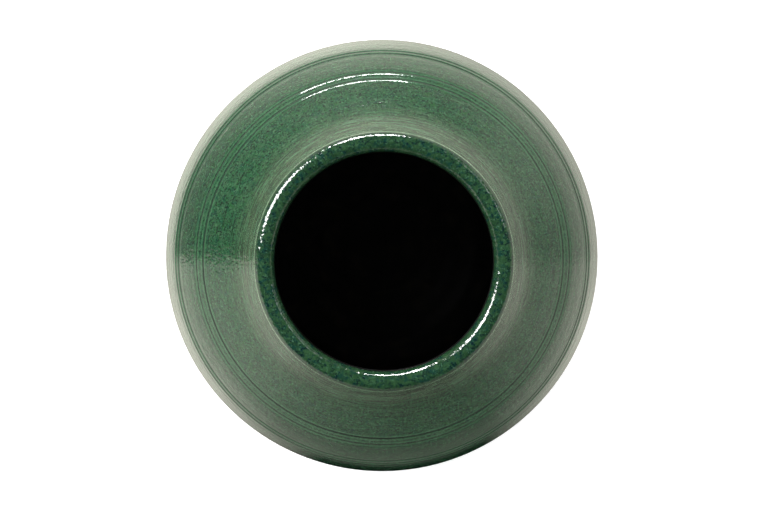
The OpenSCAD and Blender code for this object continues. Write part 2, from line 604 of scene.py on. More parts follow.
class Shader:
    """A small builder for one Principled material."""

    def __init__(self, name: str) -> None:
        """Start an empty material with a Principled shader.

        Args:
            name: the material's name.
        """
        self.material = bpy.data.materials.new(name)
        self.material.use_nodes = True
        self.tree = self.material.node_tree
        self.tree.nodes.clear()
        self.shader = self.node("ShaderNodeBsdfPrincipled")
        output = self.node("ShaderNodeOutputMaterial")
        self.link(self.shader.outputs["BSDF"], output.inputs["Surface"])
        self.place = self.node("ShaderNodeTexCoord").outputs["Object"]

    def node(self, kind: str, **settings: object) -> bpy.types.Node:
        """Add a node.

        Args:
            kind: Blender's name for the node.
            settings: the properties to set on it.

        Returns:
            The node.
        """
        made = self.tree.nodes.new(kind)
        for key, value in settings.items():
            setattr(made, key, value)
        return made

    def link(self, source: Socket, target: Socket) -> None:
        """Join two sockets."""
        self.tree.links.new(source, target)

    def stretched(self, scale: Sequence[float]) -> Socket:
        """Scale the object's coordinates.

        Args:
            scale: the factor along each axis.

        Returns:
            The scaled coordinates.
        """
        mapping = self.node("ShaderNodeMapping")
        mapping.inputs["Scale"].default_value = scale
        self.link(self.place, mapping.inputs["Vector"])
        return mapping.outputs["Vector"]

    def noise(
        self, grain: float, detail: float = 3.0, rough: float = 0.5, scale: Sequence[float] = (1, 1, 1),
        warp: float = 0.0,
    ) -> Socket:
        """Add a noise whose blotches are about a given size.

        Args:
            grain: size of a blotch, in metres.
            detail: octaves of finer noise.
            rough: strength of the finer noise.
            scale: stretch along each axis.
            warp: how far the noise folds over itself.

        Returns:
            The noise's value, from 0 to 1.
        """
        return self._noise_at(self.stretched(scale), grain, detail, rough, warp)

    def _noise_at(
        self, where: Socket, grain: float, detail: float, rough: float, warp: float = 0.0
    ) -> Socket:
        """Add a noise that is read at given coordinates.

        Args:
            where: the coordinates.
            grain: size of a blotch, in metres.
            detail: octaves of finer noise.
            rough: strength of the finer noise.
            warp: how far the noise folds over itself.

        Returns:
            The noise's value, from 0 to 1.
        """
        made = self.node("ShaderNodeTexNoise")
        values = {"Scale": 1 / grain, "Detail": detail, "Roughness": rough, "Distortion": warp}
        for key, number in values.items():
            made.inputs[key].default_value = number
        self.link(where, made.inputs["Vector"])
        return made.outputs["Fac"]

    def streaks(
        self, width: float, longer: float, detail: float = 3.0, rough: float = 0.5
    ) -> Socket:
        """Add a noise drawn out into streaks that run round the pot.

        Args:
            width: how wide a streak is, in metres.
            longer: how many times longer it is.
            detail: octaves of finer noise.
            rough: strength of the finer noise.

        Returns:
            The noise's value, from 0 to 1.
        """
        flat = self.node("ShaderNodeVectorMath", operation="MULTIPLY")
        flat.inputs[1].default_value = (1, 1, 0)
        self.link(self.place, flat.inputs[0])
        heading = self.node("ShaderNodeVectorMath", operation="NORMALIZE")
        self.link(flat.outputs["Vector"], heading.inputs[0])
        drawn = self.node("ShaderNodeVectorMath", operation="SCALE")
        drawn.inputs["Scale"].default_value = STREAK_RADIUS / longer
        self.link(heading.outputs["Vector"], drawn.inputs[0])
        up = self.node("ShaderNodeCombineXYZ")
        self.link(self.value("up"), up.inputs["Z"])
        whole = self.node("ShaderNodeVectorMath", operation="ADD")
        self.link(drawn.outputs["Vector"], whole.inputs[0])
        self.link(up.outputs["Vector"], whole.inputs[1])
        return self._noise_at(whole.outputs["Vector"], width, detail, rough)

    def ranged(
        self, value: Socket, low: float, high: float, to_low: float = 0.0, to_high: float = 1.0
    ) -> Socket:
        """Map a value smoothly from one range to another, and hold it there.

        Args:
            value: the value.
            low: where its range starts.
            high: where its range ends.
            to_low: the result at the start.
            to_high: the result at the end.

        Returns:
            The mapped value.
        """
        made = self.node("ShaderNodeMapRange", interpolation_type="SMOOTHSTEP")
        for key, number in zip(("From Min", "From Max", "To Min", "To Max"), (low, high, to_low, to_high)):
            made.inputs[key].default_value = number
        self.link(value, made.inputs["Value"])
        return made.outputs["Result"]

    def times(self, first: Socket, second: Socket) -> Socket:
        """Multiply two values.

        Args:
            first: one value.
            second: the other.

        Returns:
            Their product.
        """
        made = self.node("ShaderNodeMath", operation="MULTIPLY")
        self.link(first, made.inputs[0])
        self.link(second, made.inputs[1])
        return made.outputs[0]

    def value(self, attribute: str) -> Socket:
        """Return a value that the mesh carries at its vertices."""
        return self.node("ShaderNodeAttribute", attribute_name=attribute).outputs["Fac"]

    def lay(
        self, under: Socket | Colour, over: Socket | Colour,
        amount: Socket,
    ) -> Socket:
        """Lay one colour over another.

        Args:
            under: the colour beneath.
            over: the colour laid on it.
            amount: how much of it shows, from 0 to 1.

        Returns:
            The mixed colour.
        """
        made = self.node("ShaderNodeMix", data_type="RGBA")
        self.link(amount, made.inputs["Factor"])
        for source, target in ((under, made.inputs[6]), (over, made.inputs[7])):
            if isinstance(source, tuple):
                target.default_value = (*source, 1.0)
            else:
                self.link(source, target)
        return made.outputs[2]

    def mottle(
        self, under: Socket | Colour, over: Colour, noise: Socket,
        low: float, high: float, most: float = 1.0,
    ) -> Socket:
        """Lay one colour over another where a noise is high, or where it is low if low is above high.

        Args:
            under: the colour beneath.
            over: the colour laid on it.
            noise: the noise, from 0 to 1.
            low: the noise's value where the colour starts to show.
            high: its value where the colour shows most.
            most: how much of it shows there.

        Returns:
            The mixed colour.
        """
        return self.lay(under, over, self.ranged(noise, low, high, 0.0, most))

    def relief(
        self, layers: Sequence[tuple[Socket, float]], strength: Socket | None = None
    ) -> None:
        """Bump the surface with layers of height.

        Args:
            layers: each a height from 0 to 1 and what one stands for, in metres.
            strength: how much of them shows, from 0 to 1, where it is not all of them.
        """
        normal = None
        for height, distance in layers:
            made = self.node("ShaderNodeBump")
            made.inputs["Distance"].default_value = distance
            made.inputs["Strength"].default_value = 1.0
            self.link(height, made.inputs["Height"])
            if strength is not None:
                self.link(strength, made.inputs["Strength"])
            if normal is not None:
                self.link(normal, made.inputs["Normal"])
            normal = made.outputs["Normal"]
        self.link(normal, self.shader.inputs["Normal"])

    def finish(
        self, colour: Socket, gloss: Socket | float
    ) -> bpy.types.Material:
        """Set the colour and the roughness.

        Args:
            colour: the base colour.
            gloss: the roughness, as a value or as one number.

        Returns:
            The finished material.
        """
        self.link(colour, self.shader.inputs["Base Color"])
        if isinstance(gloss, float):
            self.shader.inputs["Roughness"].default_value = gloss
        else:
            self.link(gloss, self.shader.inputs["Roughness"])
        return self.material


@dataclass(frozen=True)
class GreenGlaze:
    """A glossy green glaze that breaks pale where it is thin and pools dark, with painted shade, where it
    is thick.
    """

    name: str = "green_glaze"
    body: Colour = (0.008, 0.056, 0.021)
    grey: Colour = (0.020, 0.062, 0.028)
    teal: Colour = (0.003, 0.036, 0.022)
    leaf: Colour = (0.010, 0.066, 0.014)
    dark: Colour = (0.001, 0.011, 0.006)
    pale: Colour = (0.050, 0.130, 0.066)
    thin: Colour = (0.016, 0.064, 0.022)
    sand: Colour = (0.040, 0.072, 0.024)
    roughness: float = 0.11
    ior: float = 1.52

    def material(self) -> bpy.types.Material:
        """Build the material.

        Returns:
            The finished material.
        """
        make = Shader(self.name)
        blotch = make.noise(5 * MM, 5, 0.7, warp=0.3)
        colour = make.mottle(self.body, self.grey, blotch, 0.42, 0.62)
        colour = make.mottle(colour, self.teal, make.noise(2.8 * MM, 5, 0.75, (1, 1, 1.3)), 0.48, 0.62, 0.9)
        colour = make.mottle(colour, self.leaf, make.noise(2.4 * MM, 4, 0.7, (1.2, 1, 1)), 0.53, 0.66, 0.9)
        streak = make.streaks(1.5 * MM, 7, 4, 0.65)
        thin = make.value("thin")
        sandy = make.mottle(self.thin, self.sand, streak, 0.42, 0.58)
        colour = make.lay(colour, sandy, make.times(thin, make.ranged(blotch, 0.30, 0.58, 0.45, 1.0)))
        colour = make.mottle(colour, self.dark, streak, 0.44, 0.30, 0.85)
        colour = make.mottle(colour, self.pale, streak, 0.56, 0.70, 0.45)
        colour = make.mottle(colour, self.dark, make.noise(1.05 * MM, 3, 0.75), 0.50, 0.60, 0.85)
        colour = make.mottle(colour, self.pale, make.noise(1.2 * MM, 3, 0.75, (1.1, 1, 1)), 0.54, 0.66, 0.7)
        colour = make.mottle(colour, self.dark, make.noise(2.1 * MM, 2, 0.5, (1, 1.1, 1)), 0.66, 0.72, 0.85)
        line = make.streaks(0.9 * MM, 22, 3, 0.6)
        colour = make.lay(colour, self.pale, make.times(thin, make.ranged(line, 0.51, 0.62, 0.0, 0.9)))
        colour = make.lay(colour, self.dark, make.times(thin, make.ranged(line, 0.48, 0.38, 0.0, 0.8)))
        colour = make.lay(colour, self.pale, make.value("bare"))
        # pool darkens the incised lines: pooling glaze and painted shade; their sheen is lowered below to
        # stand in for shade
        pool = make.value("pool")
        colour = make.lay(colour, self.dark, pool)
        make.relief([
            (make.noise(3.0 * MM, 2, 0.5), 0.16 * MM),
            (make.noise(1.4 * MM, 1, 0.5), 0.11 * MM),
            (make.streaks(9 * MM, 0.3, 2), 0.13 * MM),
            (streak, 0.08 * MM),
            (make.times(thin, line), 0.26 * MM),
        ], make.ranged(make.value("smooth"), 0.0, 1.0, 1.0, 0.25))
        make.shader.inputs["IOR"].default_value = self.ior
        make.link(make.ranged(pool, 0.2, 1.0, 0.5, 0.12), make.shader.inputs["Specular IOR Level"])
        return make.finish(colour, make.ranged(pool, 0.3, 1.0, self.roughness, 0.5))


@dataclass(frozen=True)
class LipGlazeFinish:
    """The deep second coat on the lip, with blue-black specks."""

    name: str = "lip_glaze"
    deep: Colour = (0.012, 0.037, 0.015)
    mid: Colour = (0.020, 0.057, 0.023)
    teal: Colour = (0.006, 0.030, 0.021)
    ink: Colour = (0.001, 0.005, 0.011)
    fleck: Colour = (0.045, 0.115, 0.066)
    edge: Colour = (0.200, 0.350, 0.190)
    roughness: float = 0.08
    ior: float = 1.52

    def material(self) -> bpy.types.Material:
        """Build the material.

        Returns:
            The finished material.
        """
        make = Shader(self.name)
        colour = make.mottle(self.deep, self.mid, make.noise(3.4 * MM, 5, 0.7), 0.42, 0.60)
        colour = make.mottle(colour, self.teal, make.noise(2.8 * MM, 4, 0.7, (1, 1.2, 1)), 0.48, 0.62)
        ink = make.ranged(make.noise(1.9 * MM, 6, 0.8), 0.47, 0.62, 0.0, 0.85)
        colour = make.lay(colour, self.ink, make.times(ink, make.value("crest")))
        colour = make.mottle(colour, self.fleck, make.noise(1.1 * MM, 3, 0.7), 0.55, 0.68, 0.65)
        colour = make.mottle(colour, self.deep, make.noise(0.9 * MM, 3, 0.7, (1.1, 1, 1)), 0.55, 0.68, 0.8)
        colour = make.lay(colour, self.edge, make.value("bare"))
        make.relief([
            (make.noise(2.4 * MM, 2, 0.5), 0.19 * MM),
            (make.noise(1.2 * MM, 2, 0.5), 0.07 * MM),
        ])
        make.shader.inputs["IOR"].default_value = self.ior
        return make.finish(colour, self.roughness)


@dataclass(frozen=True)
class BlackGlaze:
    """The near-black lining."""

    name: str = "black_glaze"
    black: Colour = (0.0012, 0.0013, 0.0012)
    brown: Colour = (0.004, 0.0032, 0.0022)
    roughness: float = 0.42
    ior: float = 1.3

    def material(self) -> bpy.types.Material:
        """Build the material.

        Returns:
            The finished material.
        """
        make = Shader(self.name)
        colour = make.mottle(self.black, self.brown, make.noise(7 * MM, 4, 0.6), 0.5, 0.72)
        make.relief([(make.noise(2.4 * MM, 2, 0.5), 0.05 * MM)])
        make.shader.inputs["IOR"].default_value = self.ior
        return make.finish(colour, self.roughness)


@dataclass(frozen=True)
class ToastedClay:
    """Bare stoneware, toasted by the kiln, with iron specks and fine grog."""

    name: str = "bare_clay"
    warm: Colour = (0.300, 0.185, 0.105)
    pale: Colour = (0.430, 0.310, 0.200)
    toast: Colour = (0.170, 0.080, 0.040)
    iron: Colour = (0.030, 0.016, 0.010)
    roughness: float = 0.85

    def material(self) -> bpy.types.Material:
        """Build the material.

        Returns:
            The finished material.
        """
        make = Shader(self.name)
        colour = make.mottle(self.warm, self.pale, make.noise(14 * MM, 4, 0.6), 0.38, 0.66)
        colour = make.mottle(colour, self.toast, make.noise(9 * MM, 3, 0.6), 0.55, 0.8, 0.7)
        colour = make.lay(colour, self.toast, make.value("toast"))
        colour = make.mottle(colour, self.iron, make.noise(1.1 * MM, 2, 0.5), 0.68, 0.76, 0.9)
        make.relief([
            (make.noise(0.7 * MM, 3, 0.7), 0.10 * MM),
            (make.noise(2.5 * MM, 2, 0.5), 0.08 * MM),
        ])
        return make.finish(colour, self.roughness)


@dataclass(frozen=True)
class DriedSlip:
    """Slip that has fired a little darker than the clay."""

    name: str = "joining_slip"
    main: Colour = (0.190, 0.115, 0.068)
    pale: Colour = (0.280, 0.190, 0.120)
    roughness: float = 0.9

    def material(self) -> bpy.types.Material:
        """Build the material.

        Returns:
            The finished material.
        """
        make = Shader(self.name)
        colour = make.mottle(self.main, self.pale, make.noise(3 * MM, 4, 0.6), 0.4, 0.65)
        make.relief([(make.noise(0.8 * MM, 3, 0.6), 0.12 * MM)])
        return make.finish(colour, self.roughness)


def frame_clay() -> bpy.types.Material:
    """Return the plain clay material that comes with the frame, not the toasted finish."""
    return bpy.data.materials["bare_clay"]


# ----- Sub-assemblies -----


def fit(piece: bpy.types.Object, node: str, material: bpy.types.Material) -> None:
    """Give a piece its finish and let it stand for a node of the frame.

    Args:
        piece: the turned piece.
        node: the node whose place it takes.
        material: the finish.
    """
    piece.data.materials.append(material)
    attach(piece, ROOT_BODY)
    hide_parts(node)
    LOG.info("%s: %d faces, stands for %s", piece.name, len(piece.data.polygons), node)


@dataclass
class OutsideCoat:
    """The green glaze on the outside of the pot."""

    shape: PotShape
    around: int = 288
    roll_up: float = 0.5 * MM
    edge_wave: float = 1.1 * MM
    lower_lift: float = 1.0 * MM
    lower_closer: float = 0.7
    lower_depths: tuple[float, float] = (0.6 * MM, 0.5 * MM)
    upper_burrs: tuple[float, float] = (0.312 * MM, 0.264 * MM)
    smooth_turn: float = 1.75

    def __post_init__(self) -> None:
        """Find the incised lines on the outline."""
        self.curve = Curve(self.shape.outside(self.shape.glaze_angle))
        half = self.shape.pair_gap / 2
        low, high = (
            self.curve.length_at_height(z) for z in (self.shape.lower_joint_z, self.shape.upper_joint_z)
        )
        self.lines = [
            IncisedLine(
                centre=low + self.lower_lift + side * half * self.lower_closer, burr=0.07 * MM, depth=depth,
                fall=0.5 * MM, rise=1.7 * MM, burr_width=1.1 * MM,
            )
            for side, depth in zip((-1, 1), self.lower_depths)
        ]
        self.lines += [
            IncisedLine(centre=high + side * half, burr=burr)
            for side, burr in zip((-1, 1), self.upper_burrs)
        ]
        self.marks = ThrowingMarks()

    def _spacing(self, where: Array) -> Array:
        """Choose the distance between rows: finest at the incised lines and the glaze's edge.

        Args:
            where: lengths up the wall.

        Returns:
            The distance at each length.
        """
        stops = [0, 0.01, 0.03, 0.12, 0.16, self.curve.length]
        wide = MM * np.interp(where, stops, [0.5, 0.8, 1.6, 1.6, 0.9, 0.7])
        for line in self.lines:
            near = bump(where - line.centre, 5 * MM)
            wide = wide * (1 - near) + 0.3 * MM * near
        return wide

    def _relief(self, where: Array, angle: Array) -> Array:
        """Shape the outside: lines, throwing marks, wobble and the rolled lower edge.

        Args:
            where: lengths up the wall.
            angle: angles around it.

        Returns:
            The offset out of the wall.
        """
        top = self.curve.length
        fade = np.clip((top - where) / (4 * MM), 0, 1) * np.clip(where / (6 * MM), 0, 1)
        marks = self.marks(where, angle) * fade
        wobble = ripple(angle, 3, 0.12 * MM, (2, 3, 5)) * fade
        edge = self.roll_up * bump(where - 1.6 * MM, 2.6 * MM) * (1 + ripple(angle, 8, 0.3, (3, 7, 12)))
        cut = sum(line(where, angle) for line in self.lines)
        return marks + wobble + edge + cut

    def _slide(self, where: Array, angle: Array) -> Array:
        """Let the lower edge of the glaze wander up the wall.

        Args:
            where: lengths up the wall.
            angle: angles around it.

        Returns:
            How far it moves.
        """
        reach = np.clip(1 - where / (16 * MM), 0, 1) ** 2
        wave = self.edge_wave + ripple(angle, 21, self.edge_wave, (2, 3, 5, 8, 13))
        return np.clip(wave, 0, 3 * self.edge_wave) * reach

    def _thin(self, where: Array, angle: Array) -> Array:
        """Thin the glaze on the neck most of all, and in faint rings below it.

        Args:
            where: lengths up the wall.
            angle: angles around it.

        Returns:
            How thin it is, from 0 to 1.
        """
        down = self.curve.length - where
        neck = np.clip(1 - (down - 14 * MM) / (22 * MM), 0, 1) ** 1.5
        rings = 0.10 * np.sin(math.tau * where / (2.1 * MM) + angle) * np.clip(1 - down / (60 * MM), 0, 1)
        return np.clip(0.92 * neck + rings * (0.4 + neck), 0, 1) + 0 * angle

    def _bare(self, where: Array, angle: Array) -> Array:
        """Return where the glaze breaks pale: along the burrs of the incised lines."""
        strength = 0.5 + ripple(angle, 31, 0.14, (2, 5, 9))
        return np.clip(sum(line.bared(where) for line in self.lines), 0, 1) * np.clip(strength, 0, 1)

    def _pool_and_shade(self, where: Array, angle: Array) -> Array:
        """Darken the incised lines with pooling glaze and painted shade, and let the glaze gather dark
        along its lower edge.

        Args:
            where: lengths up the wall.
            angle: angles around it.

        Returns:
            How dark it is, from 0 to 1.
        """
        upper = 0.92 + ripple(angle, 33, 0.16, (1, 2, 5, 9))
        lines = sum(line.pooled_and_shaded(where) for line in self.lines[:2])
        lines = lines + sum(line.pooled_and_shaded(where) for line in self.lines[2:]) * np.clip(upper, 0, 1)
        return np.clip(lines + 0.5 * bump(where - 2 * MM, 4 * MM), 0, 1)

    def _smooth(self, where: Array, angle: Array) -> Array:
        """Let the glaze run smooth over the incised lines and on one side of the shoulder.

        Args:
            where: lengths up the wall.
            angle: angles around it.

        Returns:
            How smooth it is, from 0 to 1.
        """
        side = bump(angle - self.smooth_turn, 0.75)
        above = 0.85 * bump(where - self.lines[3].centre - 13 * MM, 14 * MM) * side
        lines = sum(1.3 * bump(where - line.centre, 4 * MM) for line in self.lines)
        return np.clip(lines + above, 0, 1) + 0 * angle

    def build(self) -> bpy.types.Object:
        """Turn the coat and dress it.

        Returns:
            The finished piece.
        """
        shape = self.shape
        under = Curve(shape.outside(shape.glaze_angle, shape.glaze_t)[::-1])
        hidden = under.sampled(even(7 * MM))
        shades = {
            "thin": self._thin, "bare": self._bare, "pool": self._pool_and_shade, "smooth": self._smooth,
            "up": lambda where, angle: where + 0 * angle,
        }
        face = Face(self.curve, self.curve.sampled(self._spacing), self._relief, shades, self._slide)
        back = Face(under, hidden, relief=lambda where, angle: 0.2 * MM + 0 * where * angle)
        piece = Lathe(self.around).turn("coat_outside", [face, back])
        fit(piece, "outer_glaze", GreenGlaze().material())
        return piece


@dataclass
class LipCoat:
    """The deep green second coat over the rolled lip."""

    shape: PotShape
    around: int = 320

    def _relief(self, where: Array, angle: Array) -> Array:
        """Return the lip's offset: a slight wobble and the glaze's soft unevenness."""
        wave = ripple(angle, 41, 0.10 * MM, (2, 3, 5, 9)) * np.clip(where / (2 * MM), 0, 1)
        return wave * np.clip((self.curve.length - where) / (2 * MM), 0, 1)

    def _bare(self, where: Array, angle: Array) -> Array:
        """Return where the glaze breaks pale, along the lip's lower arris."""
        outer = self.curve.length * self.shape.lip_under / (math.pi + self.shape.lip_under)
        return (0.62 + ripple(angle, 43, 0.15, (2, 3, 7))) * bump(where - outer - 0.9 * MM, 1.9 * MM)

    def _crest(self, where: Array, angle: Array) -> Array:
        """Return how near the crest of the lip is, where the specks gather."""
        across = where / self.curve.length
        return np.clip(bump(across - 0.56, 0.34) + 0.12, 0, 1) + 0 * angle

    def build(self) -> bpy.types.Object:
        """Turn the coat and dress it.

        Returns:
            The finished piece.
        """
        shape = self.shape
        self.curve = Curve(shape.roll(-shape.lip_under, math.pi))
        under = Curve(shape.roll(-shape.lip_under, math.pi, shape.glaze_t)[::-1])
        shades = {"bare": self._bare, "crest": self._crest}
        faces = [
            Face(self.curve, self.curve.sampled(even(0.22 * MM)), self._relief, shades),
            Face(under, under.sampled(even(1 * MM))),
        ]
        piece = Lathe(self.around).turn("coat_lip", faces)
        fit(piece, "lip_glaze", LipGlazeFinish().material())
        return piece


@dataclass
class InsideCoat:
    """The near-black glaze on the inside."""

    shape: PotShape
    around: int = 200

    def _relief(self, where: Array, angle: Array) -> Array:
        """Leave the finger ridges of throwing, which spiral up the inside.

        Args:
            where: lengths up the wall.
            angle: angles around it.

        Returns:
            The offset, negative into the pot's wall.
        """
        spiral = np.sin(math.tau * where / (11 * MM) - angle)
        inner = np.clip(where / (30 * MM), 0, 1) * np.clip((self.curve.length - where) / (25 * MM), 0, 1)
        return -0.2 * MM * (1 + spiral) * inner

    def build(self) -> bpy.types.Object:
        """Turn the coat and dress it.

        Returns:
            The finished piece.
        """
        shape = self.shape
        self.curve = Curve(shape.inside()[::-1])
        back = Curve(shape.inside(shape.liner_t))
        top = self.curve.sampled(even(1.6 * MM))[:-1]
        hidden = back.sampled(even(6 * MM))[1:]
        faces = [
            Face(back, hidden),
            Face(self.curve, top, lambda where, angle: -self._relief(self.curve.length - where, angle)),
        ]
        piece = Lathe(self.around).turn("coat_inside", faces, capped=True)
        fit(piece, "liner_glaze", BlackGlaze().material())
        return piece


@dataclass
class ThrownBowl:
    """The lower body in bare clay, which shows under the vase and in the band above the foot."""

    shape: PotShape
    around: int = 240

    def _trimmed(self, where: Array, angle: Array) -> Array:
        """Leave the tool marks of trimming: a spiral of shallow steps on the underside.

        Args:
            where: lengths up the wall.
            angle: angles around it.

        Returns:
            The offset out of the clay.
        """
        bare = np.clip((self.show_end - where) / (6 * MM), 0, 1)
        tool = 0.10 * MM * np.sin(math.tau * where / (2.4 * MM) - angle)
        chatter = 0.03 * MM * np.sin(37 * angle + where / (1.1 * MM))
        return (tool + chatter) * bare

    def build(self) -> bpy.types.Object:
        """Turn the bowl and dress it.

        Returns:
            The finished piece.
        """
        shape = self.shape
        low = np.array([[r, shape.foot_h] for r in np.linspace(0.5 * MM, shape.foot_r - 1 * MM, 30)])
        bow = shape.body(shape.foot_angle, 0, shape.glaze_t + 0.15 * MM)
        corner = bow[0, 0], shape.foot_h
        corner = np.array([corner, corner]) + MM * np.array([[-1.2, 0], [-0.3, 0.15]])
        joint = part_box("bowl")[1][2] - 4 * MM
        above = shape.body(0, math.asin((joint - shape.belly_z) / shape.upper_b), shape.glaze_t + 0.3 * MM)
        outer = Curve(np.vstack([low, corner, bow, above[1:]]))
        self.show_end = outer.length_at_height(shape.glaze_foot_z + 6 * MM)
        stops = [self.show_end, self.show_end + 0.01]
        rows = outer.sampled(lambda where: MM * np.interp(where, stops, [0.6, 5]))
        inner_points = shape.inside(shape.liner_t + 0.2 * MM)
        inner_points = inner_points[(inner_points[:, 1] < joint) & (inner_points[:, 0] > 0.5 * MM)][::-1]
        inner = Curve(inner_points)
        faces = [
            Face(outer, rows, self._trimmed),
            Face(inner, inner.sampled(even(6 * MM))),
        ]
        piece = Lathe(self.around).turn("thrown_bowl", faces, capped=True)
        fit(piece, "bowl", ToastedClay().material())
        return piece


@dataclass
class FootRing:
    """The turned ring that the vase stands on."""

    shape: PotShape
    around: int = 320
    edge: float = 1.2 * MM

    def build(self) -> bpy.types.Object:
        """Turn the ring, with softened edges, and dress it.

        Returns:
            The finished piece.
        """
        shape = self.shape
        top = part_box("foot_ring")[1][2]
        outer, inner, edge = shape.foot_r, shape.foot_r - shape.foot_w, self.edge
        foot = outer - 1.2 * edge
        quarter = np.linspace(0, math.pi / 2, 12)[:, None]
        inside_edge = np.hstack([inner + edge - edge * np.cos(quarter), edge - edge * np.sin(quarter)])
        outside_edge = np.hstack([foot - edge + edge * np.sin(quarter), edge - edge * np.cos(quarter)])
        outline = Curve(np.vstack([[[inner, top]], inside_edge, outside_edge, [[outer, top]]]))
        tread = (outline.lengths[12], outline.lengths[13])

        def relief(where: Array, angle: Array) -> Array:
            """Leave trimming lines on the ring's two sides, and none on its tread.

            Args:
                where: lengths round the ring's outline.
                angle: angles around the ring.

            Returns:
                The offset out of the clay.
            """
            side = np.clip((tread[0] - 1.5 * MM - where) / (1 * MM), 0, 1)
            side = side + np.clip((where - tread[1] - 1.5 * MM) / (1 * MM), 0, 1)
            ends = np.clip(where / (1 * MM), 0, 1) * np.clip((outline.length - where) / (1 * MM), 0, 1)
            return 0.09 * MM * np.sin(math.tau * where / (1.7 * MM) + angle) * side * ends

        def toast(where: Array, angle: Array) -> Array:
            """Return the darker toasting of the edges."""
            edges = bump(where - tread[0], 2 * MM) + bump(where - tread[1], 2 * MM)
            return np.clip(0.5 * edges * (1 + ripple(angle, 51, 0.5, (2, 5, 9))), 0, 1)

        rows = outline.sampled(even(0.35 * MM))
        back = Curve(np.array([[outer - 1 * MM, top], [inner + 1 * MM, top]]))
        faces = [Face(outline, rows, relief, {"toast": toast}), Face(back, np.array([0.0, back.length]))]
        piece = Lathe(self.around).turn("turned_foot", faces)
        fit(piece, "foot_ring", frame_clay())
        return piece


@dataclass
class ClayCore:
    """The nodes that keep the frame's own mesh: the hidden clay and the slip joints."""

    clay_nodes: tuple[str, ...] = ("shoulder", "collar")
    slip_nodes: tuple[str, ...] = ("foot_slip", "bowl_slip", "shoulder_slip")

    def dress(self) -> None:
        """Give each node its material."""
        for nodes, material in ((self.clay_nodes, frame_clay()), (self.slip_nodes, DriedSlip().material())):
            for node in nodes:
                piece = bpy.data.objects[node]
                for slot in piece.material_slots:
                    slot.material = material
                LOG.info("%s: keeps its own mesh", node)


# ----- The studio -----


class Falls(Enum):
    """Where a light shows: as a sheen in the glaze, or as light on surfaces."""

    AS_SHEEN = "sheen"
    ON_SURFACES = "surfaces"


@dataclass
class SoftBox:
    """A rectangular light that faces the vase, with its azimuth and elevation in degrees."""

    name: str
    azimuth: float
    elevation: float
    distance: float
    width: float
    height: float
    watts: float
    falls: Falls

    def hang(self, target: Vector) -> bpy.types.Object:
        """Place the light and aim it.

        Args:
            target: the point that it faces.

        Returns:
            The light.
        """
        data = bpy.data.lights.new(self.name, "AREA")
        data.shape = "RECTANGLE"
        data.size, data.size_y = self.width, self.height
        data.energy = self.watts
        light = bpy.data.objects.new(self.name, data)
        turn, rise = math.radians(self.azimuth), math.radians(self.elevation)
        away = Vector((math.cos(turn) * math.cos(rise), math.sin(turn) * math.cos(rise), math.sin(rise)))
        light.location = target + away * self.distance
        light.rotation_mode = "QUATERNION"
        light.rotation_quaternion = away.to_track_quat("Z", "Y")
        light.visible_glossy = self.falls is Falls.AS_SHEEN
        light.visible_diffuse = self.falls is Falls.ON_SURFACES
        bpy.context.scene.collection.objects.link(light)
        return light


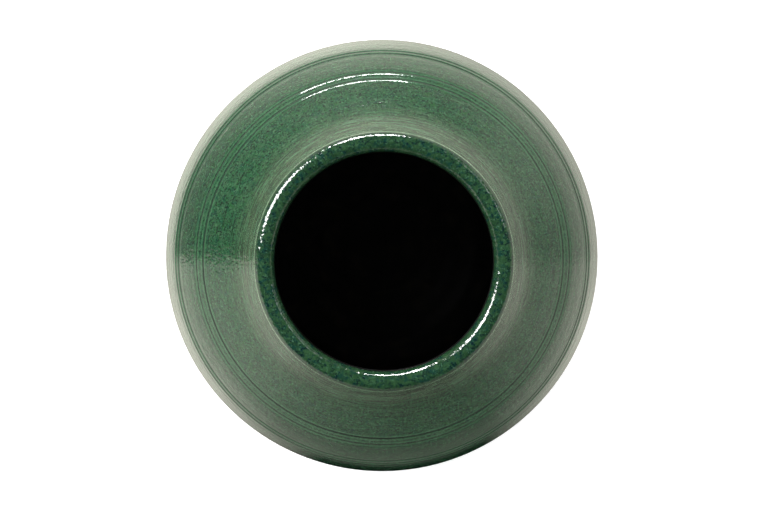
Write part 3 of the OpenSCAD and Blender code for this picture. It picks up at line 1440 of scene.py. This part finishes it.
@dataclass
class Surround:
    """A wide shallow glowing dish round the vase, seen only in its glaze, which paints the studio's
    reflections.

    It is darkest where a painted shadow lies in front and beneath the key light at the left, and brightest
    at the near left. Each list pairs an angle about the vase, in degrees, with how bright the painted
    reflection is there.
    """

    near: float = 0.058
    middle: float = 0.26
    reach: float = 1.75
    height: float = 0.62
    columns: int = 720
    tint: Colour = (1.0, 0.985, 0.85)
    # painted reflection tones; zero in front, where the vase's painted shadow lies
    foot_tones: Sequence[tuple[float, float]] = (
        (-20, 1.1), (0, 0.85), (60, 1.1), (100, 1.65), (140, 1.6), (182, 1.35), (200, 1.5), (220, 1.2),
        (236, 0.6), (254, 0.0), (298, 0.0), (308, 0.3), (320, 0.7), (340, 1.1),
    )
    floor_tones: Sequence[tuple[float, float]] = (
        (-20, 1.2), (-3, 1.2), (-1, 0.85), (12, 0.95), (60, 1.3), (100, 1.5), (120, 1.2), (140, 0.7),
        (160, 0.42), (180.5, 0.35), (182.5, 1.5), (205, 1.55), (222, 1.45), (240, 0.7), (260, 0.38),
        (285, 0.3), (302, 0.34), (320, 0.8), (340, 1.2),
    )
    wall_tones: Sequence[tuple[float, float]] = (
        (-20, 1.15), (-3, 1.18), (-1, 0.75), (12, 0.88), (25, 1.3), (45, 1.3), (60, 0.8), (80, 0.75),
        (100, 1.0), (120, 0.9), (140, 0.5), (160, 0.3), (180.5, 0.2), (182, 1.8), (205, 1.9), (225, 1.75),
        (240, 1.1), (260, 0.65), (280, 0.44), (300, 0.44), (320, 0.95), (340, 1.3),
    )

    def build(self) -> bpy.types.Object:
        """Make the dish and its own glow, from rings of a radius, a height, a gain and tones.

        Returns:
            The dish.
        """
        rings = [
            (self.near, 0.002, 0.4, self.foot_tones), (0.14, 0.002, 0.6, self.foot_tones),
            (0.18, 0.002, 1.15, self.foot_tones), (self.middle, 0.002, 1.0, self.floor_tones),
            (0.55, 0.002, 1.0, self.floor_tones), (1.2, 0.002, 1.0, self.wall_tones),
            (self.reach, 0.02, 1.0, self.wall_tones), (self.reach, self.height, 1.0, self.wall_tones),
        ]
        turn = np.linspace(-20, 340, self.columns)
        angle = np.radians(turn)
        points = around_axis(angle, [(ring[0], ring[1]) for ring in rings])
        glow = np.concatenate([gain * np.interp(turn, *zip(*tones)) for _, _, gain, tones in rings])
        dish = make_piece("surround", points, grid_faces(len(rings), self.columns))
        shining = dish.data.attributes.new("glow", "FLOAT", "POINT")
        shining.data.foreach_set("value", glow.astype(np.float32))
        dish.data.materials.append(self._material())
        dish.visible_camera = False
        dish.visible_diffuse = False
        dish.visible_shadow = False
        dish.visible_transmission = False
        return dish

    def _material(self) -> bpy.types.Material:
        """Make the dish's glowing material.

        Returns:
            The material.
        """
        material = bpy.data.materials.new("surround")
        material.use_nodes = True
        tree = material.node_tree
        tree.nodes.clear()
        light, glow = tree.nodes.new("ShaderNodeEmission"), tree.nodes.new("ShaderNodeAttribute")
        output = tree.nodes.new("ShaderNodeOutputMaterial")
        light.inputs["Color"].default_value = (*self.tint, 1)
        glow.attribute_name = "glow"
        tree.links.new(glow.outputs["Fac"], light.inputs["Strength"])
        tree.links.new(light.outputs["Emission"], output.inputs["Surface"])
        return material


@dataclass
class Studio:
    """A pale floor, soft lights, a glowing dish of painted reflections and the camera overhead."""

    shape: PotShape
    lens: float = 107.6
    camera_height: float = 1.264
    camera_back: float = 0.0305
    camera_right: float = -0.0115
    shift_right: float = 0.0016
    floor_size: float = 12.0
    floor_tone: Colour = (0.86, 0.86, 0.86)
    ambient: float = 0.10
    floor_glow: float = 0.55
    cove_start: float = 1.75

    def set_up(self) -> None:
        """Build the whole studio."""
        bpy.context.scene.view_settings.view_transform = "Standard"
        self._floor()
        self._backdrop()
        # the glowing surround paints the reflections seen in the glaze
        Surround().build()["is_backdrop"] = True
        self._world()
        target = Vector((0, 0, self.shape.neck_z))
        for box in self._lights():
            box.hang(target)
        self._camera()

    def _lights(self) -> list[SoftBox]:
        """List the soft boxes.

        Returns:
            A large key, a low strip and a weak side light as sheens, then the two that light surfaces.
        """
        sheen, soft = Falls.AS_SHEEN, Falls.ON_SURFACES
        return [
            SoftBox("key_sheen", 149, 33, distance=1.3, width=0.68, height=0.48, watts=44, falls=sheen),
            SoftBox("strip_sheen", 99, 14.3, distance=1.3, width=0.74, height=0.17, watts=36, falls=sheen),
            SoftBox("right_sheen", 33, 31, distance=1.4, width=0.9, height=0.16, watts=2, falls=sheen),
            SoftBox("key_soft", 130, 46, distance=1.6, width=1.4, height=1.4, watts=39, falls=soft),
            SoftBox("overhead", 90, 84, distance=1.7, width=1.9, height=1.9, watts=39, falls=soft),
        ]

    def _stage(
        self, name: str, points: Array, faces: Sequence[tuple[int, ...]], glow: float
    ) -> bpy.types.Object:
        """Make one matt piece of the stage.

        Args:
            name: the piece's name.
            points: its vertices.
            faces: the vertices of each face.
            glow: how brightly it shines by itself.

        Returns:
            The piece.
        """
        material = bpy.data.materials.new(name)
        material.use_nodes = True
        shader = material.node_tree.nodes["Principled BSDF"]
        shader.inputs["Base Color"].default_value = (*self.floor_tone, 1)
        shader.inputs["Roughness"].default_value = 0.9
        shader.inputs["Specular IOR Level"].default_value = 0.0
        shader.inputs["Emission Color"].default_value = (1, 1, 1, 1)
        shader.inputs["Emission Strength"].default_value = glow
        piece = make_piece(name, points, faces)
        piece.data.materials.append(material)
        piece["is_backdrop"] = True
        return piece

    def _floor(self) -> None:
        """Lay the floor under the foot, with a faint glow that keeps the shadow soft."""
        half = self.floor_size / 2
        corners = np.array([[-half, -half, 0], [half, -half, 0], [half, half, 0], [-half, half, 0]])
        self._stage("floor", corners, [(0, 1, 2, 3)], self.floor_glow)

    def _backdrop(self) -> None:
        """Lay a white cove from the far floor up the walls, so that every view ends in white."""
        turn = np.linspace(0, math.tau, 97)
        reach = 0.48 * self.floor_size
        profile = ((self.cove_start, 0.003), (reach, 0.003), (reach, reach))
        wall = self._stage("backdrop", around_axis(turn, profile), grid_faces(len(profile), len(turn)), 1.0)
        wall.visible_diffuse = False
        wall.visible_glossy = False
        wall.visible_shadow = False

    def _world(self) -> None:
        """Fill the room with a dim even light."""
        world = bpy.data.worlds.new("room")
        world.use_nodes = True
        world.node_tree.nodes["Background"].inputs["Color"].default_value = (1, 1, 1, 1)
        world.node_tree.nodes["Background"].inputs["Strength"].default_value = self.ambient
        world.cycles_visibility.glossy = False
        bpy.context.scene.world = world

    def _camera(self) -> None:
        """Hang the camera almost straight above the vase."""
        data = bpy.data.cameras.new("camera")
        data.lens, data.sensor_width = self.lens, 36.0
        data.clip_end = 20
        data.shift_x = self.shift_right
        camera = bpy.data.objects.new("camera", data)
        camera.location = (self.camera_right, self.camera_back, self.camera_height)
        above = self.camera_height - self.shape.belly_z
        back, right = math.atan(self.camera_back / above), math.atan(self.camera_right / above)
        camera.rotation_euler = (-back, right, 0)
        bpy.context.scene.collection.objects.link(camera)
        bpy.context.scene.camera = camera


def write_sizes() -> None:
    """Bring the scene's view layer up to date.
    """
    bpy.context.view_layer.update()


def main(frame: dict, frame_box: Sequence[Vector]) -> None:
    """Build and dress every piece in order.

    Args:
        frame_box: the frame's own lowest and highest corners; not used.
    """
    logging.basicConfig(level=logging.INFO, format="%(name)s: %(message)s")
    shape = PotShape.from_frame(frame)
    Studio(shape).set_up()
    OutsideCoat(shape).build()
    LipCoat(shape).build()
    InsideCoat(shape).build()
    ThrownBowl(shape).build()
    FootRing(shape).build()
    ClayCore().dress()
    write_sizes()


if __name__ == "__main__":
    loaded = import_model()
    loaded_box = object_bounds()
    main(loaded, loaded_box)
